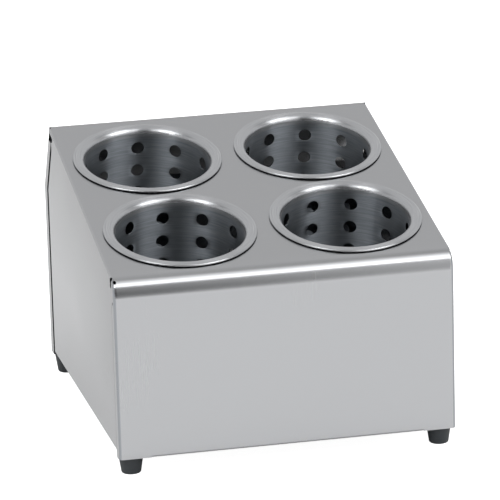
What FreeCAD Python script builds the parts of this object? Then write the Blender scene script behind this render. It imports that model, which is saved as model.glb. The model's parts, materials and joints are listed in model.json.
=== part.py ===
"""Four-cylinder cutlery dispenser: a folded sheet housing on rubber feet, with drop-in cylinders.

Millimetres. +Z is up, -Y is the low front edge, and the origin lies on the table under the middle of
the dispenser. Profiles are written as (depth, height): depth from the front face towards the rear,
height above the bottom edge of the front face.
"""
import FreeCAD
import Part
import os
from math import asin, atan2, cos, hypot, radians, sin, sqrt, tan

# --- driving dimensions ------------------------------------------------------------------------
# Housing
SHEET = 1.0                      # housing and rear panel sheet
HOUSING_WIDTH = 270.0
HOUSING_DEPTH = 300.0
FRONT_CORNER_HEIGHT = 142.7      # where the front plane and the top plane would meet
TOP_SLOPE = 13.0                 # degrees, rising to the rear
TOP_LENGTH = 273.5               # along the slope, from that corner to the rear edge
FRONT_BEND_RADIUS = 16.8         # outer radii of the bends
SIDE_BEND_RADIUS = 3.0
LIP_BEND_RADIUS = 2.0
EDGE_BEND_RADIUS = 1.6           # hems, feet flanges and tabs
REAR_LIP_LENGTH = 9.0            # lip folded down over the rear panel
LIP_END_INSET = 0.5              # its ends from the sides' outer faces
SIDE_RISE = 5.0                  # the sides stop this far above the front's bottom edge
FRONT_RETURN_DEPTH = 9.0         # front panel folded back round each front corner
FRONT_RETURN_DROP = 18.0         # the return's upper end, below the front corner
JOINT_GROOVE = 0.4               # dressed weld line between the return and the side
HEM_DEPTH = 12.0                 # inward fold along the bottom of the front and the rear
FOOT_FLANGE_WIDTH = 25.0         # inward fold along the bottom of each side
REAR_TAB_HEIGHT = 14.0           # upturned rear end of that fold
SHEET_GAP = 0.4                  # between neighbouring sheet edges that do not touch

# Bend reliefs at the front corners
SLOT_WIDTH = 4.0                 # with round ends
SLOT_LENGTH = 8.4
SLOT_DEPTH_FROM_FRONT = 10.0
SLOT_DROP = 1.0                  # the slot starts this far below the top
RETURN_HOLE_DIAMETER = 2.2
CORNER_HOLE_DIAMETER = 2.4       # at the left end of the front bend alone
CORNER_HOLE_INSET = 2.3          # its centre from the side

# Rear panel
REAR_KINK_HEIGHT = 147.3
REAR_KINK_RADIUS = 3.0
REAR_CORNER_RADIUS = 2.0
REAR_RISE = 2.0                  # its bottom edge above the front's bottom edge
REAR_FLANGE_DEPTH = 13.5
REAR_SEAM = 6.0                  # open seam between its flanges and the sides
REAR_FLANGE_DROP = 12.2          # the flanges end this far below the rear edge of the top
CORNER_NOTCH_DEPTH = 15.0        # open corner above the flanges, forward of the rear edge
CORNER_NOTCH_STEP = 6.0
CORNER_NOTCH_DROP = 4.0          # the notch starts this far below the top

# Cutlery cylinders
CYLINDER_SHEET = 0.8
CYLINDER_HEIGHT = 137.0          # rim to underside
FRONT_MARGIN = 13.5              # front corner to the front rims, along the slope
REAR_MARGIN = 12.6               # rear rims to the rear edge, along the slope
SIDE_MARGIN = 7.7                # rims to the sides
ROW_GAP = 5.4                    # between the front and the rear rims
COLUMN_GAP = 12.6                # between the left and the right rims
RIM_WIDTH = 9.5                  # bore to rim edge
RIM_HEIGHT = 2.0                 # rim above the top of the housing
RIM_LIP = 1.1                    # turned-down edge of the rim
RIM_EDGE_RADIUS = 1.0
BELL_RADIUS = 4.4
CYLINDER_BASE_RADIUS = 8.0
SEAT_GAP = 0.3                   # bell mouth to the edge of its hole, at rest

# Perforations
HOLE_DIAMETER = 10.6
HOLE_COLUMNS = 10
HOLE_ROWS = 6
FIRST_HOLE_DROP = 17.0           # below the rim
HOLE_ROW_PITCH = 20.4
DRAIN_DIAMETER = 8.0
DRAIN_COUNT = 8
DRAIN_CIRCLE_RADIUS = 30.0
# Each cylinder has been dropped in turned by its own angle (degrees)
TURN = {"front_left": -3.3, "front_right": 19.8, "rear_left": 2.6, "rear_right": 12.0}

# Feet, with their screws, washers and nuts
FOOT_DROP = 13.8                 # foot below the front's bottom edge
FOOT_TOP_RADIUS = 9.7
FOOT_BOTTOM_RADIUS = 7.6
FOOT_EDGE_RADIUS = 1.6
FOOT_GAP = 0.5                   # foot to the inside of the front and the returns
FOOT_RECESS_RADIUS = 4.7
FOOT_RECESS_DEPTH = 9.0
SCREW_RADIUS = 2.0
SCREW_HOLE_GAP = 0.2
SCREW_HEAD_RADIUS = 3.9
SCREW_HEAD_HEIGHT = 2.6
SCREW_PROTRUSION = 1.5           # above the nut
DRIVER_SLOT_WIDTH = 1.0
CUP_WASHER_RADIUS = 4.5
WASHER_RADIUS = 4.5
WASHER_THICKNESS = 1.0
NUT_ACROSS_FLATS = 7.0
NUT_HEIGHT = 3.2

# Blind rivets that hold the rear panel
RIVET_RADIUS = 2.0
RIVET_HEAD_RADIUS = 4.0
RIVET_HEAD_HEIGHT = 1.1
RIVET_TAIL_RADIUS = 2.9
RIVET_TAIL_LENGTH = 3.0
LIP_RIVET_SPACING = 105.0

# --- derived places ----------------------------------------------------------------------------
HALF_WIDTH = HOUSING_WIDTH / 2
SLOPE = radians(TOP_SLOPE)
FRONT_CORNER = (0.0, FRONT_CORNER_HEIGHT)
FRONT_RETURN_HEIGHT = FRONT_CORNER_HEIGHT - FRONT_RETURN_DROP
UP_SLOPE = (cos(SLOPE), sin(SLOPE))
TOP_NORMAL = (-sin(SLOPE), cos(SLOPE))
REAR_EDGE = (TOP_LENGTH * UP_SLOPE[0], FRONT_CORNER_HEIGHT + TOP_LENGTH * UP_SLOPE[1])
KINK = (HOUSING_DEPTH, REAR_KINK_HEIGHT)
REAR_FLANGE_TOP = REAR_EDGE[1] - REAR_FLANGE_DROP
SIDE_REAR_OFFSET = REAR_FLANGE_DEPTH + REAR_SEAM
ROW_LENGTH = (TOP_LENGTH - FRONT_MARGIN - ROW_GAP - REAR_MARGIN) / 2
COLUMN_WIDTH = (HOUSING_WIDTH - 2 * SIDE_MARGIN - COLUMN_GAP) / 2
RIM_RADIUS = min(ROW_LENGTH, COLUMN_WIDTH) / 2      # the rims fill the places that the top has
CYLINDER_BORE_RADIUS = RIM_RADIUS - RIM_WIDTH
FOOT_INSET = SHEET + FOOT_GAP + FOOT_TOP_RADIUS
FOOT_HEIGHT = FOOT_DROP + SIDE_RISE
OVERALL_DEPTH = HOUSING_DEPTH + RIVET_HEAD_HEIGHT
TO_ORIGIN = FreeCAD.Vector(0, -OVERALL_DEPTH / 2, FOOT_DROP)
FAR = 2 * (HOUSING_WIDTH + HOUSING_DEPTH)           # beyond everything, for open-ended cuts
UP = FreeCAD.Vector(0, 0, 1)


def rear_lean():
    """Angle from upright of the upper rear panel, which runs one sheet inside the lip."""
    across = KINK[0] - REAR_EDGE[0]
    rise = REAR_EDGE[1] - KINK[1]
    return atan2(across, rise) + SHEET / hypot(across, rise)


LEAN = rear_lean()
LIP_DOWN = (sin(LEAN), -cos(LEAN))
LIP_OUT = (cos(LEAN), sin(LEAN))


# --- geometry helpers --------------------------------------------------------------------------
def in_side_plane(point):
    """A (depth, height) point in the plane x = 0."""
    return FreeCAD.Vector(0, point[0], point[1])


def in_cross_plane(point):
    """An (across, height) point in the plane y = 0."""
    return FreeCAD.Vector(point[0], 0, point[1])


def along(point, direction, distance):
    return (point[0] + direction[0] * distance, point[1] + direction[1] * distance)


def unit(start, end):
    length = hypot(end[0] - start[0], end[1] - start[1])
    return ((end[0] - start[0]) / length, (end[1] - start[1]) / length)


def meet(point_a, way_a, point_b, way_b):
    """Where two lines cross, each given by a point and a direction."""
    cross = way_a[0] * way_b[1] - way_a[1] * way_b[0]
    gap = (point_b[0] - point_a[0], point_b[1] - point_a[1])
    return along(point_a, way_a, (gap[0] * way_b[1] - gap[1] * way_b[0]) / cross)


def rounded_edges(points, radii, plane):
    """Lines along the points, with an arc of each given radius at each inner point."""
    edges = []
    start = points[0]
    for before, corner, after, radius in zip(points, points[1:], points[2:], radii):
        back = unit(corner, before)
        ahead = unit(corner, after)
        if radius > 0:
            half_cosine = sqrt((1 + back[0] * ahead[0] + back[1] * ahead[1]) / 2)
            half_sine = sqrt(1 - half_cosine ** 2)
            reach = radius * half_cosine / half_sine
            middle_way = unit((0, 0), (back[0] + ahead[0], back[1] + ahead[1]))
            arc_start = along(corner, back, reach)
            arc_end = along(corner, ahead, reach)
            middle = along(corner, middle_way, radius / half_sine - radius)
            edges.append(Part.LineSegment(plane(start), plane(arc_start)).toShape())
            edges.append(Part.Arc(plane(arc_start), plane(middle), plane(arc_end)).toShape())
            start = arc_end
        else:
            edges.append(Part.LineSegment(plane(start), plane(corner)).toShape())
            start = corner
    edges.append(Part.LineSegment(plane(start), plane(points[-1])).toShape())
    return edges


def offset_points(points, distance):
    """The points of the parallel path, to the left of the walking direction."""
    ways = [unit(a, b) for a, b in zip(points, points[1:])]
    lefts = [(-way[1], way[0]) for way in ways]
    moved = [along(points[0], lefts[0], distance)]
    for i in range(1, len(ways)):
        moved.append(meet(along(points[i], lefts[i - 1], distance), ways[i - 1],
                          along(points[i], lefts[i], distance), ways[i]))
    moved.append(along(points[-1], lefts[-1], distance))
    return moved


def bent_strip(points, radii, thickness, plane):
    """Face of a bent sheet seen edge-on. The metal lies to the left of the visible path."""
    inner_radii = []
    for before, corner, after, radius in zip(points, points[1:], points[2:], radii):
        first = unit(before, corner)
        second = unit(corner, after)
        left_turn = first[0] * second[1] - first[1] * second[0] > 0
        inner_radii.append(radius - thickness if left_turn else radius + thickness)
    other = offset_points(points, thickness)
    edges = rounded_edges(points, radii, plane)
    edges.append(Part.LineSegment(plane(points[-1]), plane(other[-1])).toShape())
    edges += rounded_edges(other, inner_radii, plane)
    edges.append(Part.LineSegment(plane(other[0]), plane(points[0])).toShape())
    return Part.Face(Part.Wire(Part.__sortEdges__(edges)))


def outline_face(points, plane, radii=None):
    """Face inside a closed outline whose first corner is left sharp."""
    closed = points + [points[0]]
    return Part.Face(Part.Wire(rounded_edges(closed, radii or [0] * (len(points) - 1), plane)))


def across(face, x_low, x_high):
    """A side-plane face stretched from one x to another."""
    face.translate(FreeCAD.Vector(x_low, 0, 0))
    return face.extrude(FreeCAD.Vector(x_high - x_low, 0, 0))


def revolved(face):
    """The face of a cross-plane outline turned once about the upright axis."""
    return face.revolve(FreeCAD.Vector(0, 0, 0), UP, 360)


def block(x_range, depth_range, height_range):
    return Part.makeBox(x_range[1] - x_range[0], depth_range[1] - depth_range[0],
                        height_range[1] - height_range[0],
                        FreeCAD.Vector(x_range[0], depth_range[0], height_range[0]))


def rod(radius, base, direction, length):
    return Part.makeCylinder(radius, length, base, direction)


def mirrored(shape):
    """The shape and its copy on the other side of the dispenser."""
    return [shape, shape.mirror(FreeCAD.Vector(0, 0, 0), FreeCAD.Vector(1, 0, 0))]


def one_solid(shape):
    """The single solid of a finished sheet piece, with coplanar faces joined."""
    shape = shape.removeSplitter()
    if len(shape.Solids) != 1:
        raise ValueError("expected one solid, found %d" % len(shape.Solids))
    return shape.Solids[0]


def round_side_edges(shape, half_width, radius, keeps):
    """Round the long edges at x = +-half_width whose middle passes the test."""
    edges = [edge for edge in shape.Edges
             if abs(abs(edge.CenterOfMass.x) - half_width) < 0.01 and keeps(edge.CenterOfMass)]
    return shape.makeFillet(radius, edges)


# --- housing cover -----------------------------------------------------------------------------
def top_height(depth):
    """Height of the top's outer plane at a depth from the front."""
    return FRONT_CORNER_HEIGHT + depth * tan(SLOPE)


def front_and_top_solid(inset):
    """Closed wedge inside the front, top and side planes, moved in by one inset."""
    floor = -FAR if inset else 0.0
    rear = HOUSING_DEPTH + REAR_SEAM
    corner = meet((inset, 0.0), (0.0, 1.0), along(FRONT_CORNER, TOP_NORMAL, -inset), UP_SLOPE)
    rear_corner = meet((rear, 0.0), (0.0, 1.0), corner, UP_SLOPE)
    outline = [(rear, floor), (inset, floor), corner, rear_corner]
    half = HALF_WIDTH - inset
    radii = [0, FRONT_BEND_RADIUS - inset, 0]
    wedge = across(outline_face(outline, in_side_plane, radii), -half, half)
    return round_side_edges(wedge, half, SIDE_BEND_RADIUS - inset,
                            lambda middle: middle.z > floor + SHEET and middle.y < rear - SHEET)


def lip_bend_reach():
    """From the rear edge of the top to where its lip bend starts."""
    turn = SLOPE + radians(90) - LEAN
    return LIP_BEND_RADIUS * tan(turn / 2)


def behind_the_sides():
    """Everything behind the rear edges of the side panels and of the flat top."""
    side_rear = HOUSING_DEPTH - SIDE_REAR_OFFSET
    lean_way = (-sin(LEAN), cos(LEAN))
    seam_kink = (side_rear, REAR_KINK_HEIGHT)
    notch_front = REAR_EDGE[0] - CORNER_NOTCH_DEPTH
    seam_top = meet(seam_kink, lean_way, (notch_front + CORNER_NOTCH_STEP, 0.0), (0.0, 1.0))
    top_end = along(REAR_EDGE, UP_SLOPE, -lip_bend_reach())
    under_top = top_height(notch_front) - CORNER_NOTCH_DROP
    notch_end = meet((notch_front, under_top), UP_SLOPE, top_end, TOP_NORMAL)
    outline = [
        (side_rear, -FAR),
        seam_kink,
        seam_top,
        (seam_top[0], REAR_FLANGE_TOP),
        (notch_front, REAR_FLANGE_TOP + CORNER_NOTCH_STEP / 2),
        (notch_front, under_top),
        notch_end,
        along(notch_end, TOP_NORMAL, FAR),
        (FAR, FAR),
        (FAR, -FAR),
    ]
    return across(outline_face(outline, in_side_plane), -FAR, FAR)


def rear_lip():
    """The bend and lip along the rear edge of the top, over the upper edge of the rear panel.

    Its ends reach out past the side bends, across the open corners.
    """
    start = along(REAR_EDGE, UP_SLOPE, -2 * LIP_BEND_RADIUS)
    end = along(REAR_EDGE, LIP_DOWN, REAR_LIP_LENGTH)
    face = bent_strip([end, REAR_EDGE, start], [LIP_BEND_RADIUS], SHEET, in_side_plane)
    flat_reach = HALF_WIDTH - SIDE_BEND_RADIUS
    ear_reach = HALF_WIDTH - LIP_END_INSET
    lip = across(face, -ear_reach, ear_reach)
    on_the_flat = lip.common(block((-flat_reach, flat_reach), (0, FAR), (0, FAR)))
    return on_the_flat.fuse(lip.common(behind_the_sides()))


def bottom_hem(face_depth, inward, bottom):
    """Space to clear and the rounded fold along the bottom of the front or rear panel."""
    reach = HALF_WIDTH - SHEET - FOOT_FLANGE_WIDTH
    clear_height = 2 * EDGE_BEND_RADIUS
    depths = sorted((face_depth, face_depth + inward * SHEET))
    clear = block((-reach, reach), depths, (bottom, bottom + clear_height))
    path = [(face_depth, bottom + clear_height), (face_depth, bottom),
            (face_depth + inward * HEM_DEPTH, bottom)]
    if inward < 0:
        path.reverse()
    face = bent_strip(path, [EDGE_BEND_RADIUS], SHEET, in_side_plane)
    return clear, across(face, -reach, reach)


def foot_centres():
    """(x, depth) of the four feet by name."""
    x = HALF_WIDTH - FOOT_INSET
    return {"front_left": (-x, FOOT_INSET), "front_right": (x, FOOT_INSET),
            "rear_left": (-x, HOUSING_DEPTH - FOOT_INSET),
            "rear_right": (x, HOUSING_DEPTH - FOOT_INSET)}


def foot_flange():
    """Right-hand inward fold that carries two feet, with its upturned tab at the rear."""
    inner = HALF_WIDTH - FOOT_FLANGE_WIDTH
    wall = HALF_WIDTH - SHEET
    rear_face = HOUSING_DEPTH - SHEET
    front_end = SHEET + SHEET_GAP
    tab_edge = wall - REAR_CORNER_RADIUS
    path = [(front_end, SIDE_RISE), (rear_face, SIDE_RISE), (rear_face, SIDE_RISE + REAR_TAB_HEIGHT)]
    plate = across(bent_strip(path, [EDGE_BEND_RADIUS], SHEET, in_side_plane), inner, tab_edge)
    edge_strip = block((tab_edge, wall - SHEET_GAP),
                       (front_end, rear_face - 2 * EDGE_BEND_RADIUS),
                       (SIDE_RISE, SIDE_RISE + SHEET))
    bend_start = FRONT_RETURN_DEPTH + SHEET
    bend_end = HOUSING_DEPTH - SIDE_REAR_OFFSET
    bend_top = SIDE_RISE + 2 * EDGE_BEND_RADIUS
    bend_path = [(tab_edge, SIDE_RISE), (HALF_WIDTH, SIDE_RISE), (HALF_WIDTH, bend_top)]
    bend_face = bent_strip(bend_path, [EDGE_BEND_RADIUS], SHEET, in_cross_plane)
    bend_face.translate(FreeCAD.Vector(0, bend_start, 0))
    bend = bend_face.extrude(FreeCAD.Vector(0, bend_end - bend_start, 0))
    clear = block((wall, HALF_WIDTH), (bend_start, bend_end), (SIDE_RISE, bend_top))
    return clear, plate.fuse([edge_strip, bend])


def side_hole(diameter, depth, height):
    """Right-hand hole through the side, to be cut."""
    start = FreeCAD.Vector(HALF_WIDTH - 2 * SHEET, depth, height)
    return rod(diameter / 2, start, FreeCAD.Vector(1, 0, 0), 3 * SHEET)


def front_corner_reliefs():
    """Right-hand slot, return-flange hole and dressed joint line, to be cut."""
    end_drop = SLOT_WIDTH / 2
    slot_top = top_height(SLOT_DEPTH_FROM_FRONT) - SLOT_DROP - end_drop
    slot_bottom = slot_top - SLOT_LENGTH + 2 * end_drop
    slot = block((HALF_WIDTH - 2 * SHEET, HALF_WIDTH + SHEET),
                 (SLOT_DEPTH_FROM_FRONT - end_drop, SLOT_DEPTH_FROM_FRONT + end_drop),
                 (slot_bottom, slot_top))
    slot = slot.fuse([side_hole(SLOT_WIDTH, SLOT_DEPTH_FROM_FRONT, slot_top),
                      side_hole(SLOT_WIDTH, SLOT_DEPTH_FROM_FRONT, slot_bottom)])
    return_hole = side_hole(RETURN_HOLE_DIAMETER, FRONT_RETURN_DEPTH / 2, FRONT_RETURN_HEIGHT)
    groove = block((HALF_WIDTH - JOINT_GROOVE, HALF_WIDTH + SHEET),
                   (FRONT_RETURN_DEPTH - JOINT_GROOVE / 2, FRONT_RETURN_DEPTH + JOINT_GROOVE / 2),
                   (SIDE_RISE, FRONT_RETURN_HEIGHT))
    return [slot, return_hole, groove]


def corner_hole():
    """Hole at the left end of the front bend, to be cut from the front halfway round the bend."""
    bend_start = FRONT_CORNER_HEIGHT - FRONT_BEND_RADIUS * tan((radians(90) - SLOPE) / 2)
    height = bend_start + FRONT_BEND_RADIUS * sin(radians(45))
    behind = FreeCAD.Vector(CORNER_HOLE_INSET - HALF_WIDTH, FRONT_BEND_RADIUS, height)
    return rod(CORNER_HOLE_DIAMETER / 2, behind, FreeCAD.Vector(0, -1, 0), 2 * FRONT_BEND_RADIUS)


def cylinder_centres():
    """(x, distance along the slope) of the four cylinders by name."""
    x = (COLUMN_GAP + COLUMN_WIDTH) / 2
    front = FRONT_MARGIN + ROW_LENGTH / 2
    rear = front + ROW_LENGTH + ROW_GAP
    return {"front_left": (-x, front), "front_right": (x, front),
            "rear_left": (-x, rear), "rear_right": (x, rear)}


def cylinder_placement(x, distance):
    """Stands a cylinder square to the top, with its local zero on the top's outer face."""
    depth, height = along(FRONT_CORNER, UP_SLOPE, distance)
    tilt = FreeCAD.Rotation(FreeCAD.Vector(1, 0, 0), TOP_SLOPE)
    return FreeCAD.Placement(FreeCAD.Vector(x, depth, height), tilt)


def seat_hole_radius():
    """Hole whose upper edge stays one seat gap off the bell mouth that drops into it."""
    bell_centre_radius = CYLINDER_BORE_RADIUS + BELL_RADIUS
    bell_centre_drop = BELL_RADIUS - RIM_HEIGHT
    free_radius = BELL_RADIUS - CYLINDER_SHEET - SEAT_GAP
    return bell_centre_radius - sqrt(free_radius ** 2 - bell_centre_drop ** 2)


def housing_cover():
    cover = front_and_top_solid(0.0).cut(front_and_top_solid(SHEET))
    side_bottoms = block((-FAR, FAR), (FRONT_RETURN_DEPTH, FAR), (-1.0, SIDE_RISE))
    hem_clear, hem = bottom_hem(0.0, 1, 0.0)
    flange_clear, flange = foot_flange()
    cover = cover.cut([behind_the_sides(), side_bottoms, hem_clear] + mirrored(flange_clear))
    cover = cover.fuse([rear_lip(), hem] + mirrored(flange))
    cuts = [corner_hole()]
    for relief in front_corner_reliefs():
        cuts += mirrored(relief)
    for x, distance in cylinder_centres().values():
        hole = rod(seat_hole_radius(), UP * -2 * SHEET, UP, 3 * SHEET)
        hole.Placement = cylinder_placement(x, distance).multiply(hole.Placement)
        cuts.append(hole)
    for x, depth in foot_centres().values():
        under_flange = FreeCAD.Vector(x, depth, SIDE_RISE - SHEET)
        cuts.append(rod(SCREW_RADIUS + SCREW_HOLE_GAP, under_flange, UP, 3 * SHEET))
    return one_solid(cover.cut(cuts + rivet_holes()))


# --- rear panel and its rivets -----------------------------------------------------------------
def panel_top():
    """Upper end of the rear panel's outer face, tucked under the lip and the top."""
    under_lip = along(REAR_EDGE, LIP_OUT, -SHEET)
    under_top = along(REAR_EDGE, TOP_NORMAL, -SHEET - SHEET_GAP)
    return meet(under_lip, LIP_DOWN, under_top, UP_SLOPE)


def rear_tray(inset):
    """Closed prism between the rear faces and the front edges of the flanges."""
    rear_path = offset_points([panel_top(), KINK, (HOUSING_DEPTH, REAR_RISE)], -inset)
    flange_front = -REAR_FLANGE_DEPTH - (FAR if inset else 0.0)
    if inset:
        rear_path[0] = along(rear_path[0], LIP_DOWN, -FAR)
        rear_path[2] = (rear_path[2][0], -FAR)
    front_side = [(depth + flange_front, height) for depth, height in reversed(rear_path)]
    radii = [REAR_KINK_RADIUS - inset, 0, 0, 0, 0]
    half = HALF_WIDTH - inset
    prism = across(outline_face(rear_path + front_side, in_side_plane, radii), -half, half)
    rear_edges = [edge for edge in prism.Edges
                  if abs(abs(edge.CenterOfMass.x) - half) < 0.01 and on_rear_path(edge, rear_path)]
    return prism.makeFillet(REAR_CORNER_RADIUS - inset, rear_edges)


def on_rear_path(edge, path):
    """Whether an edge lies along the rear faces rather than the flange front or the ends."""
    middle = edge.CenterOfMass
    upper = meet(path[1], unit(path[1], path[0]), (0.0, middle.z), (1.0, 0.0))[0]
    depth_there = upper if middle.z > path[1][1] else path[1][0]
    horizontal = abs(edge.Vertexes[0].Z - edge.Vertexes[-1].Z) < 0.01
    return middle.y > depth_there - REAR_KINK_RADIUS and not horizontal


def rear_panel():
    """Kinked tray. Above its flanges it ends in flat ears that reach up behind the lip's ends."""
    panel = rear_tray(0.0).cut(rear_tray(SHEET))
    flat_reach = HALF_WIDTH - SIDE_BEND_RADIUS
    ear_top = REAR_EDGE[1] - CORNER_NOTCH_DROP - SHEET
    open_corner = block((flat_reach, FAR), (0.0, FAR), (REAR_FLANGE_TOP, FAR))
    ear = panel.common(block((0.0, SIDE_BEND_RADIUS - LIP_END_INSET), (0.0, FAR),
                             (REAR_FLANGE_TOP, ear_top)))
    ear.translate(FreeCAD.Vector(flat_reach, 0, 0))
    hem_clear, hem = bottom_hem(HOUSING_DEPTH, -1, REAR_RISE)
    panel = panel.cut(mirrored(open_corner) + [hem_clear]).fuse(mirrored(ear) + [hem])
    return one_solid(panel.cut(rivet_holes()))


def rivet_places():
    """(outer face point, inward direction) of each rivet, in housing coordinates."""
    lip_middle = along(REAR_EDGE, LIP_DOWN, REAR_LIP_LENGTH / 2 + LIP_BEND_RADIUS / 2)
    into_lip = FreeCAD.Vector(0, -LIP_OUT[0], -LIP_OUT[1])
    places = []
    for step in (-1, 0, 1):
        base = FreeCAD.Vector(step * LIP_RIVET_SPACING, lip_middle[0], lip_middle[1])
        places.append((base, into_lip))
    tab_x = HALF_WIDTH - FOOT_FLANGE_WIDTH / 2 - SHEET
    tab_height = SIDE_RISE + REAR_TAB_HEIGHT - RIVET_HEAD_RADIUS
    for x in (-tab_x, tab_x):
        places.append((FreeCAD.Vector(x, HOUSING_DEPTH, tab_height), FreeCAD.Vector(0, -1, 0)))
    return places


def rivet_holes():
    """Holes through both sheets at every rivet."""
    return [rod(RIVET_RADIUS, base - direction * SHEET, direction, 4 * SHEET)
            for base, direction in rivet_places()]


def rivet():
    """Domed head, shank through two sheets and swollen tail, zero on the outer sheet, +Z inwards."""
    stack = 2 * SHEET
    tail_end = stack + RIVET_TAIL_LENGTH
    dome_radius = (RIVET_HEAD_RADIUS ** 2 + RIVET_HEAD_HEIGHT ** 2) / (2 * RIVET_HEAD_HEIGHT)
    half_way = asin(RIVET_HEAD_RADIUS / dome_radius) / 2
    crown = (0.0, -RIVET_HEAD_HEIGHT)
    shoulder = (dome_radius * sin(half_way), dome_radius * (1 - cos(half_way)) - RIVET_HEAD_HEIGHT)
    rim = (RIVET_HEAD_RADIUS, 0.0)
    dome = Part.Arc(in_cross_plane(crown), in_cross_plane(shoulder), in_cross_plane(rim)).toShape()
    path = [rim, (RIVET_RADIUS, 0.0), (RIVET_RADIUS, stack), (RIVET_TAIL_RADIUS, stack),
            (RIVET_TAIL_RADIUS, tail_end), (0.0, tail_end), crown]
    edges = [dome] + rounded_edges(path, [0, 0, 0, RIVET_TAIL_RADIUS / 2, 0], in_cross_plane)
    return one_solid(revolved(Part.Face(Part.Wire(edges))))


def placed_rivets():
    pattern = rivet()
    placed = []
    for base, direction in rivet_places():
        copy = pattern.copy()
        copy.Placement = FreeCAD.Placement(base, FreeCAD.Rotation(UP, direction))
        placed.append(copy)
    return placed


# --- cutlery cylinders -------------------------------------------------------------------------
def wall_perforations():
    """Rows of round holes through the wall."""
    holes = []
    for row in range(HOLE_ROWS):
        height = RIM_HEIGHT - FIRST_HOLE_DROP - row * HOLE_ROW_PITCH
        for column in range(HOLE_COLUMNS):
            angle = radians(90 + column * 360 / HOLE_COLUMNS)
            outward = FreeCAD.Vector(cos(angle), sin(angle), 0)
            start = outward * (CYLINDER_BORE_RADIUS - 2 * CYLINDER_SHEET) + UP * height
            holes.append(rod(HOLE_DIAMETER / 2, start, outward, 5 * CYLINDER_SHEET))
    return holes


def drain_holes():
    """A centre hole and a ring of holes through the base."""
    floor = UP * (RIM_HEIGHT - CYLINDER_HEIGHT - CYLINDER_SHEET)
    holes = [rod(DRAIN_DIAMETER / 2, floor, UP, 3 * CYLINDER_SHEET)]
    for i in range(DRAIN_COUNT):
        angle = radians(i * 360 / DRAIN_COUNT)
        place = FreeCAD.Vector(cos(angle), sin(angle), 0) * DRAIN_CIRCLE_RADIUS
        holes.append(rod(DRAIN_DIAMETER / 2, floor + place, UP, 3 * CYLINDER_SHEET))
    return holes


def cutlery_cylinder():
    """Deep-drawn perforated cylinder in its own frame, zero on the top face that it sits in."""
    floor = RIM_HEIGHT - CYLINDER_HEIGHT + CYLINDER_SHEET
    path = [(RIM_RADIUS, RIM_HEIGHT - RIM_LIP), (RIM_RADIUS, RIM_HEIGHT),
            (CYLINDER_BORE_RADIUS, RIM_HEIGHT), (CYLINDER_BORE_RADIUS, floor), (0.0, floor)]
    radii = [RIM_EDGE_RADIUS, BELL_RADIUS, CYLINDER_BASE_RADIUS]
    cup = revolved(bent_strip(path, radii, CYLINDER_SHEET, in_cross_plane))
    return one_solid(cup.cut(wall_perforations() + drain_holes()))


def placed_cylinders():
    pattern = cutlery_cylinder()
    placed = {}
    for name, (x, distance) in cylinder_centres().items():
        copy = pattern.copy()
        turned = FreeCAD.Placement(FreeCAD.Vector(0, 0, 0), FreeCAD.Rotation(UP, -TURN[name]))
        copy.Placement = cylinder_placement(x, distance).multiply(turned)
        placed["cutlery_cylinder_" + name] = copy
    return placed


# --- feet and their fasteners ------------------------------------------------------------------
def foot():
    """Tapered rubber foot with a recess for its screw, standing on zero."""
    seat = FOOT_HEIGHT
    outline = [(FOOT_RECESS_RADIUS, 0.0), (FOOT_BOTTOM_RADIUS, 0.0), (FOOT_TOP_RADIUS, FOOT_DROP),
               (FOOT_TOP_RADIUS, seat), (SCREW_RADIUS + SCREW_HOLE_GAP, seat),
               (SCREW_RADIUS + SCREW_HOLE_GAP, FOOT_RECESS_DEPTH),
               (FOOT_RECESS_RADIUS, FOOT_RECESS_DEPTH)]
    radii = [FOOT_EDGE_RADIUS, 0, 0, 0, 0, 0]
    return one_solid(revolved(outline_face(outline, in_cross_plane, radii)))


def ring(outer, inner, base, height):
    return rod(outer, UP * base, UP, height).cut(rod(inner, UP * base, UP, height))


def foot_screw():
    """Round-headed machine screw, its head in the foot's recess."""
    seat = FOOT_RECESS_DEPTH - WASHER_THICKNESS
    head_bottom = seat - SCREW_HEAD_HEIGHT
    end = FOOT_HEIGHT + SHEET + WASHER_THICKNESS + NUT_HEIGHT + SCREW_PROTRUSION
    head = rod(SCREW_HEAD_RADIUS, UP * head_bottom, UP, SCREW_HEAD_HEIGHT)
    lower_edge = [edge for edge in head.Edges if edge.BoundBox.ZMax < head_bottom + 0.01]
    head = head.makeFillet(SCREW_HEAD_HEIGHT / 2, lower_edge)
    slot = block((-SCREW_HEAD_RADIUS, SCREW_HEAD_RADIUS),
                 (-DRIVER_SLOT_WIDTH / 2, DRIVER_SLOT_WIDTH / 2),
                 (head_bottom, seat - SCREW_HEAD_HEIGHT / 2))
    return one_solid(head.cut(slot).fuse(rod(SCREW_RADIUS, UP * seat, UP, end - seat)))


def foot_nut():
    """Hexagon nut on the washer above the foot flange."""
    base = FOOT_HEIGHT + SHEET + WASHER_THICKNESS
    corner = NUT_ACROSS_FLATS / 2 / cos(radians(30))
    points = [FreeCAD.Vector(corner * cos(radians(60 * i)), corner * sin(radians(60 * i)), base)
              for i in range(6)]
    hexagon = Part.Face(Part.makePolygon(points + [points[0]]))
    nut = hexagon.extrude(UP * NUT_HEIGHT)
    return nut.cut(rod(SCREW_RADIUS, UP * base, UP, NUT_HEIGHT))


def at_feet(shape):
    """Four copies of a foot piece, in housing coordinates, by foot name."""
    copies = {}
    for name, (x, depth) in foot_centres().items():
        copy = shape.copy()
        copy.translate(FreeCAD.Vector(x, depth, -FOOT_DROP))
        copies[name] = copy
    return copies


def group(shapes):
    return Part.makeCompound(list(shapes))


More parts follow.
